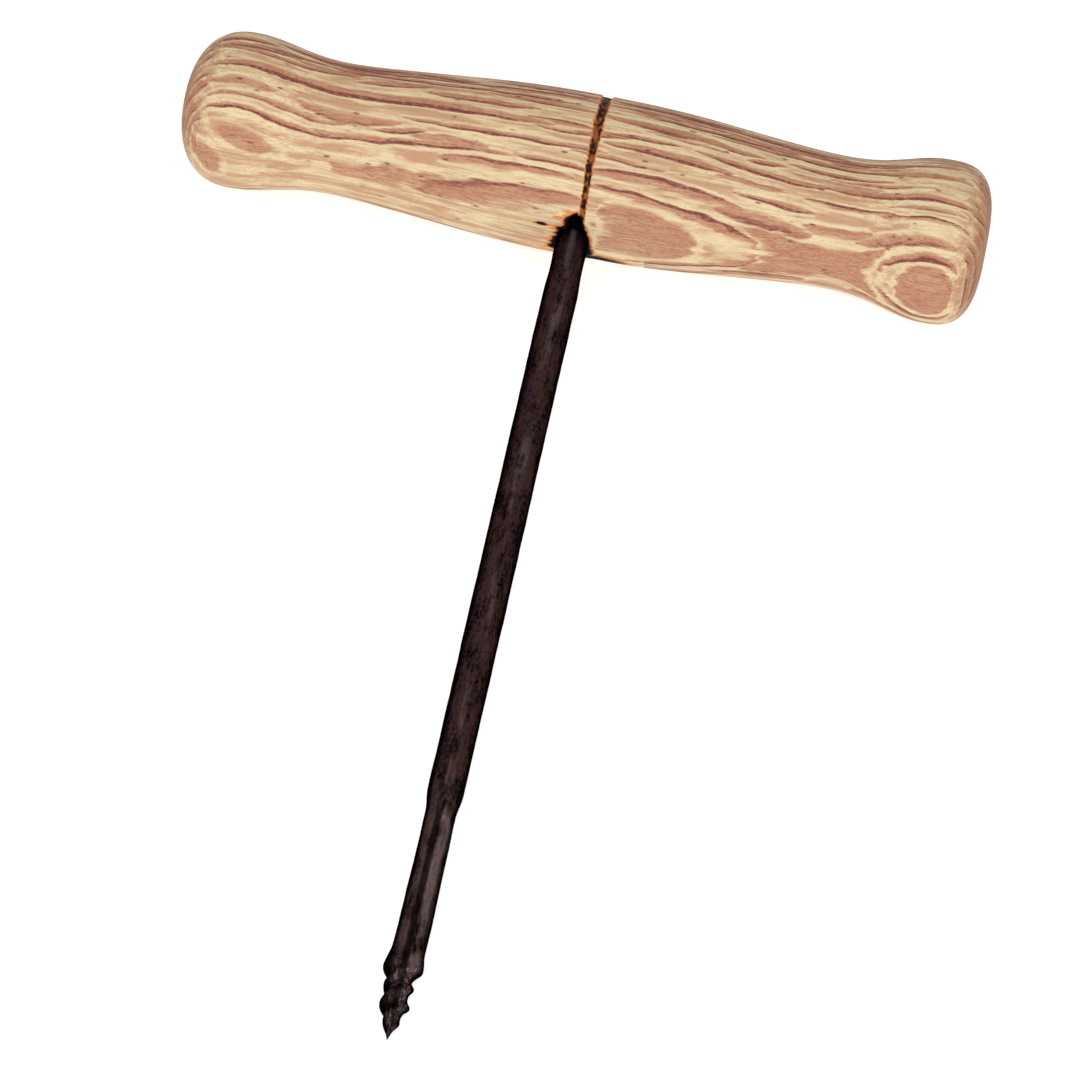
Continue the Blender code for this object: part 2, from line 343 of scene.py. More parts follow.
# %% Groove and mouth
GROOVE_PLACE = 1.2 * MM
GROOVE_HALF = {"mouth": 0.85 * MM, "top": 1.5 * MM}
GROOVE_DEPTH = {"mouth": 0.8 * MM, "top": 1.7 * MM}
MOUTH_APEX = 7.8            # millimetres from the shank's axis, round the belly towards the front
MOUTH_BACK = -10.5          # the same, towards the back
MOUTH_DEPTH = 5.0 * MM
MOUTH_REACH = 19            # millimetres along the handle; the mouth's burn stops here
HEART = 10                  # millimetres; the mouth's burn stops this far from the handle's axis
FAR_OFF = -9.0              # the value for places that the mouth doesn't reach


def wander(points, scale, amount, seed):
    """Smooth random values for points; the same each run."""
    shift = Vector((seed * 7.3, seed * 3.1, seed * 5.7))
    return np.array([noise.noise(Vector(point) * scale + shift) for point in points]) * amount


def mouth_burn(points):
    """Millimetres inside the edge of the burnt mouth; negative outside it."""
    x = points[:, 0] / MM
    y = points[:, 1] / MM
    radius = np.hypot(y, points[:, 2] / MM)
    round_belly = radius * np.arctan2(-y, -points[:, 2] / MM)
    back = np.clip(MOUTH_APEX - round_belly, 0, None)
    left = 1.6 * back ** 0.52
    right = 1.15 * back ** 0.57
    closing = np.sqrt(np.clip((round_belly - MOUTH_BACK) / 4, 0, 1))
    side = np.where(x < 0, left * closing + x, right * closing - x)
    ahead = np.where(round_belly > MOUTH_APEX, MOUTH_APEX - round_belly - np.abs(x), side)
    inside = np.where(round_belly < MOUTH_BACK, np.minimum(round_belly - MOUTH_BACK, side), ahead)
    near = (np.abs(x) < 12) & (radius > HEART) & (points[:, 2] < 0)
    ragged = np.zeros(len(points))
    fibres = points[near] * (0.4, 1, 1)
    ragged[near] = wander(fibres, 700, 1.0, 1) + wander(points[near], 2600, 0.25, 2)
    tongue = 1.6 * (1 - np.hypot((x - 6) / 7, (round_belly + 12.4) / 4.0))
    nick = 0.7 * (1 - np.hypot((x + 8.6) / 1.3, (round_belly - 2.6) / 0.45))
    nick = np.where(nick > -0.5, nick, FAR_OFF)
    inside = np.maximum(inside + ragged, np.maximum(tongue, nick))
    reached = (np.abs(x) < MOUTH_REACH) & (radius > HEART) & (points[:, 2] < 0)
    return np.where(reached, inside, FAR_OFF)


def close_stations(ends, gap):
    """Positions from ends[0] to ends[1]; gap(x) gives the spacing wanted at x."""
    fine = np.linspace(ends[0], ends[1], 6000)
    count = np.concatenate(([0], np.cumsum(np.diff(fine) / gap((fine[1:] + fine[:-1]) / 2))))
    return np.interp(np.linspace(0, count[-1], round(count[-1]) + 1), count, fine)


def length_gap(x):
    """Distance between rings: close round the belly's middle and at both ends."""
    nearest_end = np.minimum(x + LEFT_ARM, RIGHT_ARM - x)
    gap = np.where(np.abs(x) < 9 * MM, 0.26 * MM, 0.95 * MM)
    return np.where(nearest_end < 1 * MM, 0.05 * MM, np.where(nearest_end < 7 * MM, 0.3 * MM, gap))


def round_gap(angle):
    """Finer on the front, where the layers are drawn most closely; 0 faces the shank."""
    front = (angle > math.radians(-36)) & (angle < math.radians(128))
    return np.where(front, math.radians(0.85), math.radians(2.4))


def groove_share(angle):
    """0 by the mouth, 1 over the top of the handle."""
    return smooth((np.abs(angle) - math.radians(20)) / math.radians(110))


def groove_half(angle):
    """Half the groove's width."""
    share = groove_share(angle)
    return GROOVE_HALF["mouth"] + (GROOVE_HALF["top"] - GROOVE_HALF["mouth"]) * share


def groove_swing(angle):
    """The wire wandered a little to both sides."""
    return 0.15 * MM * np.sin(3 * angle + 1)


def groove_depth(x, angle):
    """The wire cut less deep near the mouth; its sides are a little ragged."""
    share = groove_share(angle)
    half = groove_half(angle)
    deep = GROOVE_DEPTH["mouth"] + (GROOVE_DEPTH["top"] - GROOVE_DEPTH["mouth"]) * share
    wobble = groove_swing(angle) + 0.10 * MM * np.sin(11 * angle)
    off = np.abs(x - GROOVE_PLACE - wobble) / half
    return deep * np.clip(1 - off, 0, 1) ** 0.8


def handle_points(stations, angles):
    """The turned surface, uneven by a tenth of a millimetre, with groove and mouth sunk in."""
    x, angle = np.meshgrid(stations, angles, indexing="ij")
    radius = handle_radius(x)
    unevenness = 0.10 * MM * np.sin(x / (9 * MM) + 2 * angle) * np.sin(x / (23 * MM) + 1)
    body = np.minimum(radius / (8 * MM), 1) * unevenness
    radius = radius + body - groove_depth(x, angle)
    points = np.stack([x, -radius * np.sin(angle), -radius * np.cos(angle)], axis=-1)
    flat = points.reshape(-1, 3)
    burn = mouth_burn(flat)
    pit = MOUTH_DEPTH * smooth(burn / 2.4)
    scale = 1 - pit / np.maximum(np.hypot(flat[:, 1], flat[:, 2]), 1 * MM)
    flat[:, 1:] *= scale[:, None]
    return flat.reshape(points.shape)


# %% Net of rings
MERGE_GAP = 0.000002        # metres; points nearer than this become one
SLIVER = 0.000001           # metres; edges shorter than this go


def net(points, name):
    """Closed mesh over rings of points; both ends close on a middle point."""
    rings, sides = points.shape[:2]
    verts = points.reshape(-1, 3).tolist()
    verts += [points[0].mean(axis=0).tolist(), points[-1].mean(axis=0).tolist()]
    start, end = rings * sides, rings * sides + 1
    faces = []
    for ring in range(rings - 1):
        for side in range(sides):
            after = (side + 1) % sides
            faces.append((ring * sides + side, ring * sides + after,
                          (ring + 1) * sides + after, (ring + 1) * sides + side))
    last = (rings - 1) * sides
    for side in range(sides):
        after = (side + 1) % sides
        faces.append((start, after, side))
        faces.append((end, last + side, last + after))
    mesh = bpy.data.meshes.new(name)
    mesh.from_pydata(verts, [], faces)
    return mesh


def face_outwards(mesh):
    """Merge doubles, drop slivers, close what is open and turn the faces outwards."""
    shell = bmesh.new()
    shell.from_mesh(mesh)
    bmesh.ops.remove_doubles(shell, verts=shell.verts, dist=MERGE_GAP)
    bmesh.ops.dissolve_degenerate(shell, edges=shell.edges, dist=SLIVER)
    bmesh.ops.holes_fill(shell, edges=[edge for edge in shell.edges if edge.is_boundary])
    bmesh.ops.recalc_face_normals(shell, faces=shell.faces)
    print(mesh.name, "edges left open:", sum(not edge.is_manifold for edge in shell.edges))
    shell.to_mesh(mesh)
    shell.free()
    mesh.shade_smooth()


stations = close_stations((-LEFT_ARM, RIGHT_ARM), length_gap)
stations[0], stations[-1] = -LEFT_ARM + 1e-7, RIGHT_ARM - 1e-7
angles = close_stations((-math.pi, math.pi), round_gap)[:-1]
handle_mesh = net(handle_points(stations, angles), "handle")
face_outwards(handle_mesh)
print("handle net:", len(stations), "rings of", len(angles), "points")

# %% [markdown]
# ### The hole through the handle
# The tang's hole is square where the hot tang burnt it, and the rove sits in a shallow round
# seat on the far side.  A net of rings can't hold a hole, so both are cut with a Boolean.

# %% Hole and seat
FIT_GAP = 0.15 * MM         # left open on each side, so that the pieces never touch
TANG_HALF = {"low": 2.2 * MM, "high": 1.9 * MM}
ROVE_RADIUS = 7.2 * MM
ROVE_THICKNESS = 1.6 * MM
SEAT_HEIGHT = BELLY_RADIUS - 1.5 * MM
CUTTER_END = 30 * MM        # well outside the handle


def square_radius(angle, half):
    """Radius of a square bar with its corners taken off."""
    flat = half / np.maximum(np.abs(np.cos(angle)), np.abs(np.sin(angle)))
    return np.minimum(flat, half * (math.sqrt(2) - 0.25))


def ring(height, radius, sides=48):
    """Points round z; the radius is a number or a rule in the angle."""
    angle = np.arange(sides) * TAU / sides
    reach = radius(angle) if callable(radius) else np.full(sides, radius)
    return np.stack([reach * np.cos(angle), reach * np.sin(angle), np.full(sides, height)], axis=-1)


def low_hole(angle):
    return square_radius(angle, TANG_HALF["low"] + FIT_GAP)


def high_hole(angle):
    return square_radius(angle, TANG_HALF["high"] + FIT_GAP)


def tang_hole():
    """Cutter for the tapered square hole and the round seat above it."""
    seat = ROVE_RADIUS + FIT_GAP
    rings = [ring(-CUTTER_END, low_hole), ring(SEAT_HEIGHT, high_hole),
             ring(SEAT_HEIGHT, seat), ring(CUTTER_END, seat)]
    return net(np.stack(rings), "tang_hole")


def new_piece(name, mesh):
    """Put a mesh in the scene."""
    piece = bpy.data.objects.new(name, mesh)
    scene.collection.objects.link(piece)
    return piece


def cut_with(piece, cutter_mesh):
    """The piece's mesh with the cutter taken out, as a plain mesh."""
    face_outwards(cutter_mesh)
    cutter = new_piece("cutter", cutter_mesh)
    step = piece.modifiers.new("cut", 'BOOLEAN')
    step.operation = 'DIFFERENCE'
    step.solver = 'EXACT'
    step.object = cutter
    seen = piece.evaluated_get(bpy.context.evaluated_depsgraph_get())
    result = bpy.data.meshes.new_from_object(seen)
    face_outwards(result)
    piece.modifiers.clear()
    piece.data = result
    bpy.data.objects.remove(cutter)
    return result


handle = new_piece("handle", handle_mesh)
cut_with(handle, tang_hole())


# %% [markdown]
# ### The layers in the wood
# The growth layers lie nearly square to the shank.  Each layer ends in a band of dark late wood,
# so the turned surface shows long stripes, and ovals where it only just touches a layer.  The
# bands fork and die out, so each is written as one long thin lens: where its middle is along the
# handle, how far it reaches, how deep it lies, how it slopes and bends, and how thick it is.
# Working them out point by point and storing them on the mesh keeps the shader small.  The
# bands are cut by the surface and not wrapped round it, so they meet at the ends and run into
# the mouth as they do in a solid piece of timber.
#
# All lengths are millimetres and the depth counts from the handle's axis towards the shank.  The
# last three numbers are the strength of the body, the strength of the dark edge and its side.

# %% Bands of late wood
LAYER_TILT = 0.17           # sine of ten degrees: the layers lean towards the handle's front
LAYER_DROP = 0.985          # and its cosine
LAYERS_END = 97             # the drawn bands stop here, and the end faces get plain layers
STRIPE_SPACING = 2.6
BAND_FULLNESS = 1.45
BANDS = [
    # middle, reach, depth, slope, bend, thickness, body, edge, side
    (-56, 46, 4.6, 0.8, 1.2, 2.1, 0.85, 0.9, 1),
    (-62, 14, 10.7, 0.3, -0.3, 1.6, 0.7, 0.5, 1),
    (-22, 27, 10.6, 0.9, -0.3, 0.9, 0.8, 1.0, 1),
    (-90, 9, 9.6, 0.3, 0.0, 1.6, 0.6, 0.3, 1),
    (-80, 20, 12.2, -0.3, 0.0, 1.0, 0.6, 0.6, 1),
    (-48, 6.5, 12.1, -0.4, 0.0, 0.9, 0.9, 0.9, 1),
    (-83, 19, 15.0, -0.1, -0.8, 0.8, 0.8, 1.0, 1),
    (-45, 26, 14.0, 0.3, 0.4, 0.8, 0.8, 0.9, 1),
    (-35, 10, 13.3, 0.5, 0.0, 1.3, 0.8, 0.3, -1),
    (-8, 10, 14.8, 0.5, 0.1, 0.8, 0.8, 1.0, 1),
    (-20, 18, 16.6, 0.5, -0.1, 1.1, 0.7, 0.7, -1),
    (-22, 24, 19.6, 0.4, -0.3, 1.3, 0.85, 0.6, -1),
    (-50, 15, 17.7, 0.8, 0.0, 1.0, 0.6, 0.3, -1),
    (-79, 20, -0.2, -0.7, -1.5, 1.2, 0.7, 0.6, 1),
    (-52, 10, 0.0, -0.7, 0.0, 1.4, 0.75, 0.6, 1),
    (-29, 15, 1.8, 0.4, 0.1, 1.5, 0.85, 0.7, 1),
    (-13, 15, -0.6, 0.8, 0.0, 1.3, 0.7, 0.5, 1),
    (-8, 9, 5.4, 0.2, 0.0, 1.0, 0.8, 0.8, -1),
    (-7, 8, 7.6, 0.2, 0.0, 0.7, 0.7, 0.8, 1),
    (-66, 19, -7.0, 0.0, 0.0, 2.0, 0.8, 0.8, 1),
    (-40, 9, -6.8, 0.8, 0.0, 2.0, 0.9, 0.8, 1),
    (-92, 9, -5.3, 0.3, 0.0, 1.7, 0.7, 0.7, 1),
    (-16, 17, -4.6, -0.3, 0.0, 1.4, 0.7, 0.7, -1),
    (-78, 12, -3.6, -0.6, 0.0, 1.0, 0.6, 0.6, 1),
    (-13, 16, -7.8, 0.2, 0.0, 1.5, 0.8, 0.7, 1),
    (13, 11, 5.6, -0.4, 0.0, 0.9, 0.8, 0.8, 1),
    (3, 8, 6.8, -0.5, 0.0, 1.0, 0.8, 0.6, 1),
    (19, 17, 0.9, 0.5, 0.1, 2.1, 0.75, 0.6, 1),
    (38, 7, 2.2, 0.3, 0.0, 1.2, 0.7, 0.6, 1),
    (45, 19, 6.7, 0.4, -0.9, 1.1, 0.9, 1.0, 1),
    (80, 21, 6.9, 0.8, -0.1, 1.5, 0.85, 0.8, 1),
    (64, 12, 5.2, 0.3, 0.0, 1.4, 0.6, 0.2, -1),
    (20, 17, 8.3, 0.3, 0.6, 1.7, 0.9, 0.8, 1),
    (42, 9, 10.1, -0.1, 0.1, 1.1, 0.8, 0.5, -1),
    (8, 13, 12.1, 0.1, 0.0, 0.9, 0.7, 0.7, 1),
    (49, 11, 12.6, -0.2, 0.0, 0.8, 1.0, 1.0, 1),
    (68, 12, 10.5, 0.7, 0.5, 0.8, 0.7, 1.0, -1),
    (88, 12, 12.5, 0.5, -0.2, 0.8, 0.8, 1.0, -1),
    (20, 22, 14.9, -0.1, 0.5, 1.4, 0.75, 0.8, -1),
    (47, 13, 15.7, -0.4, 0.3, 1.3, 0.85, 0.6, 1),
    (66, 9, 14.8, 0.2, 0.0, 1.3, 0.7, 0.3, -1),
    (84, 13, 16.2, 0.6, 0.0, 1.4, 0.75, 0.6, 1),
    (24, 23, 18.0, 0.3, -0.1, 0.8, 0.8, 1.0, -1),
    (88, 10, 18.7, 0.3, 0.0, 0.7, 0.8, 1.0, 1),
    (19, 14, 20.4, 0.0, 0.0, 1.9, 0.72, 0.2, -1),
    (61, 18, 17.4, 0.0, 0.0, 1.4, 0.9, 0.25, -1),
    (89.5, 8, 20.9, 0.0, 0.0, 1.7, 0.95, 0.3, -1),
    (43, 13, -1.0, 0.1, 0.0, 1.1, 0.6, 0.5, 1),
    (45, 5.5, 3.7, -0.5, 0.0, 1.0, 0.9, 0.8, 1),
    (64, 14, 2.2, 0.4, 0.0, 1.2, 0.8, 0.8, 1),
    (66, 5, -2.5, -0.2, 0.0, 1.4, 0.6, 0.4, 1),
    (84, 14, -0.4, 0.5, 0.0, 1.8, 0.6, 0.3, 1),
    (20, 18, -8.0, 0.3, 0.0, 2.2, 0.8, 0.7, 1),
    (48, 17, -6.1, 0.4, 0.0, 2.2, 0.8, 0.7, 1),
    (20, 18, -4.6, 0.4, 0.0, 1.0, 0.6, 0.5, 1),
    (80, 15, -4.8, 0.3, 0.0, 1.2, 0.6, 0.6, 1),
    (24, 12, 3.2, 0.5, 0.0, 0.9, 0.6, 0.5, 1),
    (88, 10, 9.9, 0.2, 0.0, 0.8, 0.6, 0.5, 1),
    (75, 14, 4.0, 0.4, 0.0, 0.8, 0.6, 0.6, 1),
    (-47, 22, -2.9, 0.5, 0.0, 1.2, 0.8, 0.9, 1),
    (-20, 17, -2.6, 0.6, 0.2, 1.0, 0.75, 0.9, 1),
    (-50, 25, -5.0, 0.4, 0.0, 1.1, 0.8, 0.9, 1),
    (-88, 12, -2.0, -0.6, -0.4, 1.0, 0.8, 0.9, 1),
    (33, 21, -2.7, 0.4, 0.2, 1.1, 0.8, 0.9, 1),
    (64, 18, -0.8, 0.5, 0.0, 1.0, 0.8, 0.9, 1),
    (34, 15, -6.4, 0.3, 0.0, 1.0, 0.75, 0.8, 1),
    (66, 16, -3.9, 0.3, 0.0, 1.0, 0.7, 0.8, 1),
]


def late_wood(x, depth):
    """Body, dark edge and pale rim of the bands, each 0 to 1."""
    body, edge, rim = np.zeros((3, len(x)))
    for middle, reach, lies, slope, bend, thick, body_share, edge_share, side in BANDS:
        share = (x - middle) / reach
        inside = np.clip(1 - share ** 2, 0, 1)
        half = BAND_FULLNESS * thick / 2 * np.maximum(inside, 0.0001) ** 0.45
        above = depth - (lies + slope * share + bend * share ** 2)
        within = (inside > 0) * 1.0
        core = (1 - smooth((np.abs(above / half) - 0.5) / 0.65)) * within
        core *= 0.78 + 0.3 * np.clip(side * above / half, -1, 1)
        line = (1 - smooth((np.abs(above / half - 0.7 * side) - 0.1) / 0.6)) * inside ** 0.35
        pale = (1 - smooth((np.abs(np.abs(above) - half - 0.3) - 0.05) / 0.4)) * within
        body = np.maximum(body, core * body_share)
        edge = np.maximum(edge, line * edge_share)
        rim = np.maximum(rim, pale)
    return np.stack([body, edge, rim])


SLIM_END_OVALS = [
    # middle, degrees round the handle, reach, spread in degrees, slant
    (-87, 28, 8.5, 9, 6),
    (-96, 5, 4.2, 14, 4),
]


def slim_end_patches(x, angle, layers):
    """On the slim arm the turning runs just inside a pale layer, with two brown ovals."""
    around = np.degrees(angle)
    pale = smooth((13 - around + 0.12 * (x + 30)) / 5) * smooth((around + 30) / 8)
    pale *= smooth((-3 - x) / 4) * smooth((x + 108) / 4)
    layers = layers * (1 - 0.9 * pale)
    for middle, centre, reach, spread, slant in SLIM_END_OVALS:
        share = (x - middle) / reach
        off = np.hypot(share, (around - centre + slant * share) / spread)
        oval = np.stack([1 - smooth((off - 0.7) / 0.35), 0 * off,
                         1 - smooth((np.abs(off - 1.2) - 0.05) / 0.15)])
        layers = np.maximum(layers, 0.62 * oval)
    return layers


def far_stripes(points, depth):
    """Plain repeating layers for the side away from the shank."""
    waves = wander(points * (1, 4, 4), 30, 2.2, 5)
    phase = ((depth + waves) / STRIPE_SPACING) % 1
    fade = smooth((wander(points * (1, 8, 8), 30, 1.0, 7) + 0.3) / 0.6)
    body = smooth((phase - 0.1) / 0.4) * (1 - smooth((phase - 0.88) / 0.12)) * (0.35 + 0.5 * fade)
    edge = smooth((phase - 0.66) / 0.2) * (1 - smooth((phase - 0.88) / 0.12)) * fade
    return np.stack([body, edge, 1 - smooth(phase / 0.14)])


def groove_burn(points):
    """1 at the bottom of the groove, 0 at its edge, negative outside."""
    angle = np.arctan2(-points[:, 1], -points[:, 2])
    off = np.abs(points[:, 0] - GROOVE_PLACE - groove_swing(angle)) / groove_half(angle)
    return np.maximum(1 - off, -3)


def store(mesh, name, values):
    """Keep one number for each point of the mesh, for a finish to read."""
    values = np.ascontiguousarray(values, dtype=np.float32)
    mesh.attributes.new(name, 'FLOAT', 'POINT').data.foreach_set("value", values)


def store_layers(mesh):
    """Drawn bands towards the shank, plain repeating layers behind and above."""
    flat = np.zeros(len(mesh.vertices) * 3)
    mesh.vertices.foreach_get("co", flat)
    points = flat.reshape(-1, 3)
    x, y, z = (points / MM).T
    behind = smooth((y - 2) / 10)
    depth = -LAYER_TILT * y - LAYER_DROP * z
    depth += wander(points * (1, 3, 3), 25, 2.5, 11) * behind
    depth += wander(points * (1, 4, 4), 140, 0.35, 12)
    near = smooth((depth + 9.5) / 2) * (1 - smooth((np.abs(x) - LAYERS_END) / 4))
    drawn = late_wood(x, depth)
    drawn[:2] *= 1 + 0.35 * smooth((2 - depth) / 4)
    layers = drawn * near + far_stripes(points, depth) * (1 - near)
    fine = 0.3 + 0.45 * smooth((1 - depth) / 5)
    layers = np.maximum(layers, fine * far_stripes(points, depth * 1.6))
    layers = slim_end_patches(x, np.arctan2(-y, -z), layers)
    for name, values in zip(("body", "edge", "rim"), layers):
        store(mesh, name, values)
    store(mesh, "burn", mouth_burn(points))
    store(mesh, "groove", groove_burn(points))


store_layers(handle.data)
handle.data.transform(TO_GROUND)
handle.data.shade_smooth()
print("handle:", len(handle.data.polygons), "faces")

# %% [markdown]
# ## Shape of the shank
# The smith draws out one bar: a square tang, a shoulder, the round bar, a step down to the slimmer
# nose with a flute filed along it, and at the end two cutters that run on as two screw threads.
# All of it is one rule, radius from height and angle, so Geometry Nodes can make it: a flat grid
# is rolled round z, and each point's radius is the formula below.  Heights count from the point
# upwards.  The sizes are inputs of the tree, so they can be changed without opening it.

# %% Sizes of the shank
SHANK_SIZES = {
    "Reach": REACH,
    "Head top": HEAD_TOP,
    "Rod radius": 4.45 * MM,
    "Necked radius": 4.2 * MM,
    "Waist radius": 3.75 * MM,
    "Nose radius": 4.05 * MM,
    "Cutter radius": 4.85 * MM,
    "Screw radius": 3.7 * MM,
    "Root radius": 2.7 * MM,
    "Screw length": 16.5 * MM,
    "Taper length": 9.0 * MM,
    "Cutter height": 20.2 * MM,
    "Waist height": 66.0 * MM,
    "Step length": 6.5 * MM,
    "Thread spacing": 5.4 * MM,
    "Tang half": TANG_HALF["low"],
    "Head radius": 4.3 * MM,
    "Head thickness": 1.6 * MM,
    "Belly radius": BELLY_RADIUS,
}
SHANK_RINGS = 860
SHANK_SIDES = 84
FLUTE_SIDE = math.radians(-58)      # -90 faces the front of the tool, 0 its thicker end


# %% Tree that rolls the bar
def blend(first, second, share):
    """First where share is 0, second where it is 1."""
    return first + (second - first) * share


def shank_tree():
    """Roll a grid into the bar.  The head runs in to a middle point; the tip is closed later."""
    tree = bpy.data.node_groups.new("forged_bar", "GeometryNodeTree")
    board = Board(tree)
    for name in SHANK_SIZES:
        tree.interface.new_socket(name, in_out='INPUT', socket_type='NodeSocketFloat')
    tree.interface.new_socket("Finish", in_out='INPUT', socket_type='NodeSocketMaterial')
    tree.interface.new_socket("Shank", in_out='OUTPUT', socket_type='NodeSocketGeometry')
    given = board.outputs(board.add("NodeGroupInput"))
    size = dict(zip([*SHANK_SIZES, "Finish"], given))

    grid = board.add("GeometryNodeMeshGrid", values={
        "Size X": 1.0, "Size Y": 1.0, "Vertices X": SHANK_SIDES + 1, "Vertices Y": SHANK_RINGS})
    across, upward = board.parts(board.add("GeometryNodeInputPosition"))[:2]
    angle = (across + 0.5) * TAU
    total = size["Reach"] + size["Head top"]
    track = (upward + 0.5) * (total + size["Head radius"])
    height = track.least(total)

    radius = shank_radius(size, height, angle)
    radius = radius.least(total + size["Head radius"] - track)
    centre = 0 - 0.45 * MM * (1 - height.rise(18 * MM, 34 * MM))
    rough = forging_marks(board, height, angle)
    radius = (radius + rough * height.rise(0, 6 * MM)).most(0.0)
    place = board.vector(centre + radius * angle.cos(), radius * angle.sin(), height - size["Reach"])
    rolled = board.add("GeometryNodeSetPosition", values={"Geometry": grid, "Position": place})
    closed = board.add("GeometryNodeMergeByDistance", values={"Geometry": rolled, "Distance": 0.000004})
    whole = board.add("GeometryNodeRealizeInstances", values={"Geometry": closed})
    coated = board.add("GeometryNodeSetMaterial", values={"Geometry": whole, "Material": size["Finish"]})
    end = tree.nodes.new("NodeGroupOutput")
    board.put(end.inputs[0], coated)
    return tree


def nose_radius(size, height, angle):
    """Point, screw, cutters, nose and round bar."""
    cutter = size["Cutter height"]
    waist = size["Waist height"]
    turn = 2 * angle - TAU * (height.least(cutter) - cutter) / size["Thread spacing"]
    crest = (0.5 + 0.5 * turn.cos()) ** 1.5
    rising = height.rise(size["Screw length"], cutter)
    root = blend(size["Root radius"], size["Nose radius"], rising)
    root = root + (size["Waist radius"] - size["Nose radius"]) * height.rise(cutter, waist)
    step_up = height.rise(waist, waist + size["Step length"])
    root = root + (size["Rod radius"] - size["Waist radius"]) * step_up
    proud = blend(size["Screw radius"] - size["Root radius"],
                  size["Cutter radius"] - size["Nose radius"], rising)
    proud = proud * (1 - height.rise(cutter, cutter + 6 * MM))
    taper = (height.most(0.2 * MM) / size["Taper length"]).least(1.0) ** 0.85
    return (root + proud * crest) * taper - flute_depth(size, height, angle)


def shank_radius(size, height, angle):
    """The bar, which necks in below the handle, turns square for the tang and ends in a head."""
    body = nose_radius(size, height, angle)
    surface = size["Reach"] - size["Belly radius"]
    shoulder = surface - 1.2 * MM
    drawn = height.rise(shoulder - 20 * MM, shoulder - 10 * MM)
    body = body - (size["Rod radius"] - size["Necked radius"]) * drawn
    flat = size["Tang half"] / abs(angle.cos()).most(abs(angle.sin()))
    square = flat.least(size["Tang half"] * 1.164)
    square = square * (1 - 0.14 * height.rise(surface, size["Reach"] + size["Belly radius"]))
    body = blend(body, square, height.rise(shoulder, shoulder + 3 * MM))
    head_bottom = size["Reach"] + size["Head top"] - size["Head thickness"]
    crown = 1 - 0.12 * height.rise(head_bottom + 0.6 * MM, head_bottom + size["Head thickness"])
    return blend(body, size["Head radius"] * crown, height.above(head_bottom))


def flute_depth(size, height, angle):
    """A shallow V filed along the nose, fading out at both ends."""
    cutter = size["Cutter height"]
    waist = size["Waist height"]
    away = abs(((angle - FLUTE_SIDE) / TAU + 0.5).part() - 0.5) * 360
    across = (1 - away / 42).most(0)
    ends = height.rise(cutter - 2 * MM, cutter + 7 * MM) * (1 - height.rise(waist - 22 * MM, waist))
    return 0.95 * MM * across * ends


def forging_marks(board, height, angle):
    """Hammer marks and pits, in metres of radius."""
    place = board.vector(angle.cos() * 4.4, angle.sin() * 4.4, height * (0.35 / MM))
    marks = board.add("ShaderNodeTexNoise", values={"Vector": place, "Scale": 0.28, "Detail": 1.0})
    pits = board.add("ShaderNodeTexNoise", values={"Vector": place, "Scale": 1.3, "Detail": 3.0})
    return (marks - 0.5) * (0.34 * MM) + (pits - 0.5) * (0.14 * MM)


# %% [markdown]
# ## Finishes
# Each finish is worked out in the tool's upright axes, in millimetres.  A Mapping node undoes
# the tilt of the lying tool, so the grain follows the handle and the hammer marks follow the bar.

# %% Place in millimetres
OBJECT_PLACE = 3            # the output of a Texture Coordinate node that gives object places


def place_in_mm(board):
    """Object coordinates turned back to the upright tool, in millimetres."""
    back = TO_GROUND.inverted()
    where = board.add("ShaderNodeTexCoord", out=OBJECT_PLACE)
    return board.add("ShaderNodeMapping", {"vector_type": 'POINT'}, {
        "Vector": where,
        "Location": [value / MM for value in back.to_translation()],
        "Rotation": back.to_euler(),
        "Scale": (1 / MM, 1 / MM, 1 / MM)})


def new_finish(name):
    """A material, its tree and the shader that comes with it."""
    finish = bpy.data.materials.new(name)
    finish.use_nodes = True
    board = Board(finish.node_tree)
    return finish, board, finish.node_tree.nodes["Principled BSDF"]


LAMP_GAIN = 1.1             # about how bright these lamps make a white surface


def linear(red, green, blue):
    """A screen colour, 0 to 255, as three linear shares."""
    shares = [value / 255 for value in (red, green, blue)]
    return [s / 12.92 if s <= 0.04045 else ((s + 0.055) / 1.055) ** 2.4 for s in shares]


def paint(red, green, blue):
    """The base colour that looks like this screen colour under these lamps."""
    return (*[value / LAMP_GAIN for value in linear(red, green, blue)], 1.0)


def tint(board, share, under, over):
    """Under where share is 0, over where it is 1; sockets 6, 7 and 2 are the colour ones."""
    return board.add("ShaderNodeMix", {"data_type": 'RGBA', "clamp_factor": True},
                     {0: share, 6: under, 7: over}, out=2)


def cloud(board, place, along, across, seed, detail=2.0, lengthwise="x"):
    """Noise stretched along one axis of the tool; 0 to 1, mostly near 0.5."""
    x, y, z = place
    size = [across, across, across]
    size["xyz".index(lengthwise)] = along
    spot = board.vector(x / size[0] + seed * 11.7, y / size[1] + seed * 5.3, z / size[2])
    return board.add("ShaderNodeTexNoise", values={"Vector": spot, "Scale": 1.0, "Detail": detail,
                                                   "Roughness": 0.5})


# %% [markdown]
# ### Bold-grained wood
# The colours go from cream, through straw and tan, to the plum brown of the late wood.  The
# stored layers say where each belongs, and fine noise, drawn out along the grain, breaks up
# their edges into fibres.  The noise is worked out inside the solid wood, not on its skin, so
# there is no seam.  The burnt places are laid over the top: charcoal, an orange rim where the
# wood only scorched, and pale patches beside the mouth, which are torn fibres and also a painted
# highlight where the mouth's wall catches the light.

# %% Wood colours
CREAM = paint(231, 212, 168)
STRAW = paint(209, 175, 134)
TAN = paint(190, 140, 108)
PLUM = paint(166, 102, 82)
DARK_LINE = paint(106, 50, 44)
SCORCH = paint(226, 136, 66)
TOASTED = paint(158, 92, 52)
EMBER = paint(112, 52, 26)
CHAR = paint(18, 11, 9)


